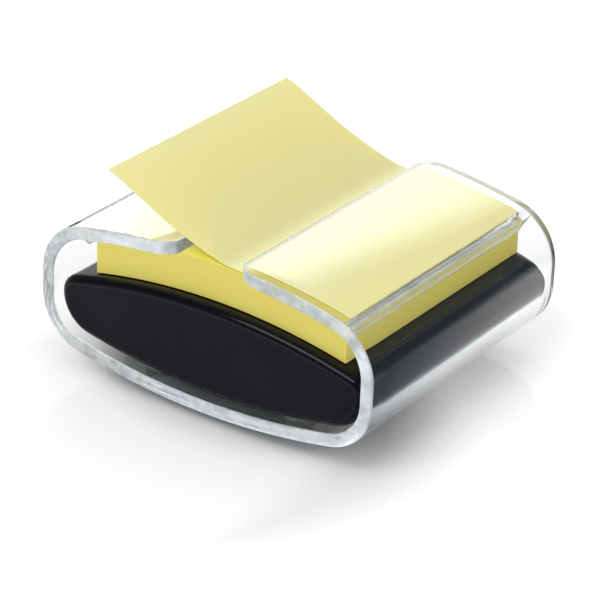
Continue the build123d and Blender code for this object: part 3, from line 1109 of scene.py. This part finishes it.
def white_room():
    """A white room, dimmer above, to the right and in front, that lights the object less than it shows."""
    setup = sizes("stage_setup")
    tree = Finish(bpy.data.worlds.new("white_room"))
    across, along, up = tree.parts(tree.node("ShaderNodeTexCoord", output="Generated"))
    side = tree.ramp(across, *SIDE_FADE, first=1.0, last=setup.dim_side)
    front = tree.ramp(along, *FRONT_FADE, first=setup.dim_front)
    ceiling = tree.ramp(up, *CEILING_FADE, first=1.0, last=setup.ceiling)
    shade = tree.rays("Glossy") * (1.0 - side * front)
    shown = tree.maths("MAXIMUM", tree.rays("Camera"), ceiling * (1.0 - shade))
    strength = plain_light(tree) * (shown - setup.room) + setup.room
    room = tree.node("ShaderNodeBackground", inputs={"Color": WHITE, "Strength": strength})
    bpy.context.scene.world = tree.surface(room)


def floor_finish():
    """White polished board that mirrors the object faintly, glows beside it and is plain white far off."""
    setup = sizes("stage_setup")
    tree = new_finish("floor")
    x, y = tree.parts(tree.place())[:2]
    reach = flat_length(x, y)
    far = tree.ramp(flat_length(x, y + PATCH_FRONT), *PATCH_FADE)
    left = tree.ramp(x, *LEFT_FADE, last=LEFT_GLOW) * tree.ramp(reach, *BESIDE_FADE)
    lit = tree.maths("MAXIMUM", far, left)
    board = tree.solid(Base_Color=setup.floor, Roughness=0.07, IOR=FLOOR_IOR)
    glow = tree.light(WHITE, plain_light(tree) * lit * setup.floor_glow)
    lit_board = tree.node("ShaderNodeAddShader", inputs={0: board, 1: glow})
    distant = tree.ramp(reach, *DISTANCE_FADE) * tree.rays("Camera")
    return tree.surface(tree.join(distant, lit_board, tree.light(WHITE, 1.0)))


def card_place(tree):
    """The two shares that place a point on a card, from 0 to 1."""
    return tree.parts(tree.node("ShaderNodeUVMap", settings={"uv_map": "card"}))[:2]


def card_finish():
    """A bright card that fades towards its sides and top, and a little towards its foot."""
    tree = new_finish("bright_card")
    u, v = card_place(tree)
    height = tree.ramp(v, *CARD_TOP) * tree.ramp(v, *CARD_MIDDLE, first=0.9)
    fade = tree.ramp(abs(u - 0.5), *CARD_SIDES) * height
    return tree.surface(tree.join(fade, tree.sheer(), tree.light(WHITE, sizes("stage_setup").card)))


def painted_shade_finish():
    """A dark sheet of painted shade that fades towards its edges and doesn't show from below."""
    tree = new_finish("painted_shade_card")
    u, v = card_place(tree)
    above = 1.0 - tree.node("ShaderNodeNewGeometry", output="Backfacing")
    fade = tree.ramp(abs(u - 0.5), *SHADE_SHEET_EDGE) * tree.ramp(abs(v - 0.5), *SHADE_SHEET_EDGE) * above
    return tree.surface(tree.join(fade, tree.sheer(), tree.light(sizes("stage_setup").flag, 1.0)))


def flat_piece(name, corners, material):
    """A four-cornered sheet of the stage, with its own UV map."""
    mesh = bpy.data.meshes.new(name)
    mesh.from_pydata(corners, [], [(0, 1, 2, 3)])
    mesh.materials.append(material)
    layer = mesh.uv_layers.new(name="card")
    layer.data.foreach_set("uv", [0.0, 0.0, 1.0, 0.0, 1.0, 1.0, 0.0, 1.0])
    piece = new_object(name, mesh)
    return piece


def level(outline, height):
    """Corners of a level sheet at a height."""
    return [(x, y, height) for x, y in outline]


def add_lamp(name, place, width, height, power):
    """A soft rectangular lamp that shines on the dispenser."""
    data = bpy.data.lights.new(name, "AREA")
    data.shape = "RECTANGLE"
    data.size = width
    data.size_y = height
    data.energy = power
    turn = (Vector(LAMP_TARGET) - Vector(place)).to_track_quat("-Z", "Y")
    new_object(name, data).matrix_world = Matrix.Translation(place) @ turn.to_matrix().to_4x4()


def add_camera():
    """The camera: rows right, up and back turned by the roll, and the origin at its offset."""
    setup = sizes("stage_setup")
    a, e, roll = setup.azimuth, setup.elevation, setup.roll
    right = np.array([np.cos(a), np.sin(a), 0.0])
    back = np.array([np.sin(a) * np.cos(e), -np.cos(a) * np.cos(e), np.sin(e)])
    up = np.cross(back, right)
    turn = np.array([[np.cos(roll), np.sin(roll), 0.0], [-np.sin(roll), np.cos(roll), 0.0], [0.0, 0.0, 1.0]])
    rows = turn @ np.stack([right, up, back])
    pose = np.eye(4)
    pose[:3, :3] = rows.T
    pose[:3, 3] = -rows.T @ np.array(setup.offset)
    data = bpy.data.cameras.new("camera")
    data.sensor_width = SENSOR_WIDTH
    data.lens = setup.focal_pixels / PICTURE_WIDTH * SENSOR_WIDTH
    camera = new_object("camera", data)
    camera.matrix_world = Matrix(pose.tolist())
    bpy.context.scene.camera = camera


class DISPENSER_OT_stage(Operator):
    """Set up the camera, the white floor and room, the lamps and the cards"""

    bl_idname = "dispenser.stage"
    bl_label = "Stage"

    def execute(self, context):
        setup = sizes("stage_setup")
        add_camera()
        white_room()
        flat_piece("floor", level(FLOOR, 0.0), floor_finish())
        corners = level(CARD_ENDS, 0.0) + level(CARD_ENDS[::-1], CARD_HEIGHT)
        card = flat_piece("back_card", corners, card_finish())
        # painted shade: two dark sheets on the floor, hidden from the camera and from light, stand in for
        # the shade around the object that mirrors and glass show
        shade = painted_shade_finish()
        side_shade_sheet = flat_piece("side_shade_sheet", level(SIDE_SHADE_SHEET, SHADE_SHEET_HEIGHT), shade)
        back_shade_sheet = flat_piece("back_shade_sheet", level(BACK_SHADE_SHEET, SHADE_SHEET_HEIGHT), shade)
        for sheet in (card, side_shade_sheet, back_shade_sheet):
            sheet.visible_camera = False
            sheet.visible_diffuse = False
            sheet.visible_shadow = False
        card.visible_transmission = False
        back_shade_sheet.visible_transmission = False
        add_lamp("top_lamp", *TOP_LAMP, setup.key)
        add_lamp("side_lamp", *SIDE_LAMP, setup.side)
        add_lamp("front_lamp", *FRONT_LAMP, setup.front)
        cycles = context.scene.cycles
        cycles.max_bounces = LIGHT_BOUNCES
        cycles.transmission_bounces = LIGHT_BOUNCES
        cycles.glossy_bounces = LIGHT_BOUNCES
        context.scene.view_settings.view_transform = "Standard"
        return {"FINISHED"}


class DISPENSER_PT_pieces(Panel):
    """Lists the dispenser's pieces and sizes"""

    bl_idname = "DISPENSER_PT_pieces"
    bl_label = "Note dispenser"
    bl_space_type = "VIEW_3D"
    bl_region_type = "UI"
    bl_category = "Dispenser"

    def draw(self, context):
        for operator in PIECES:
            self.layout.operator(operator.bl_idname)
        for name, group in GROUPS.items():
            box = self.layout.box()
            box.label(text=name.replace("_", " "))
            for field in group.__annotations__:
                box.prop(getattr(context.scene, name), field)


GROUPS = {
    "sleeve_sizes": SleeveSizes,
    "base_sizes": BaseSizes,
    "paper_sizes": PaperSizes,
    "finish_colours": FinishColours,
    "stage_setup": StageSetup,
}
PIECES = [
    DISPENSER_OT_wrap,
    DISPENSER_OT_feet,
    DISPENSER_OT_base,
    DISPENSER_OT_underside,
    DISPENSER_OT_pad,
    DISPENSER_OT_note,
    DISPENSER_OT_stage,
]


def register():
    """Registers the groups, operators and panel."""
    for kind in [*GROUPS.values(), *PIECES, DISPENSER_PT_pieces]:
        bpy.utils.register_class(kind)
    for name, group in GROUPS.items():
        setattr(bpy.types.Scene, name, PointerProperty(type=group))


def unregister():
    """Takes back what register did."""
    for name in GROUPS:
        delattr(bpy.types.Scene, name)
    for kind in reversed([*GROUPS.values(), *PIECES, DISPENSER_PT_pieces]):
        bpy.utils.unregister_class(kind)


def main():
    """Makes every piece in order."""
    register()
    for operator in PIECES:
        group, name = operator.bl_idname.split(".")
        getattr(getattr(bpy.ops, group), name)()


if __name__ == "__main__":
    main()
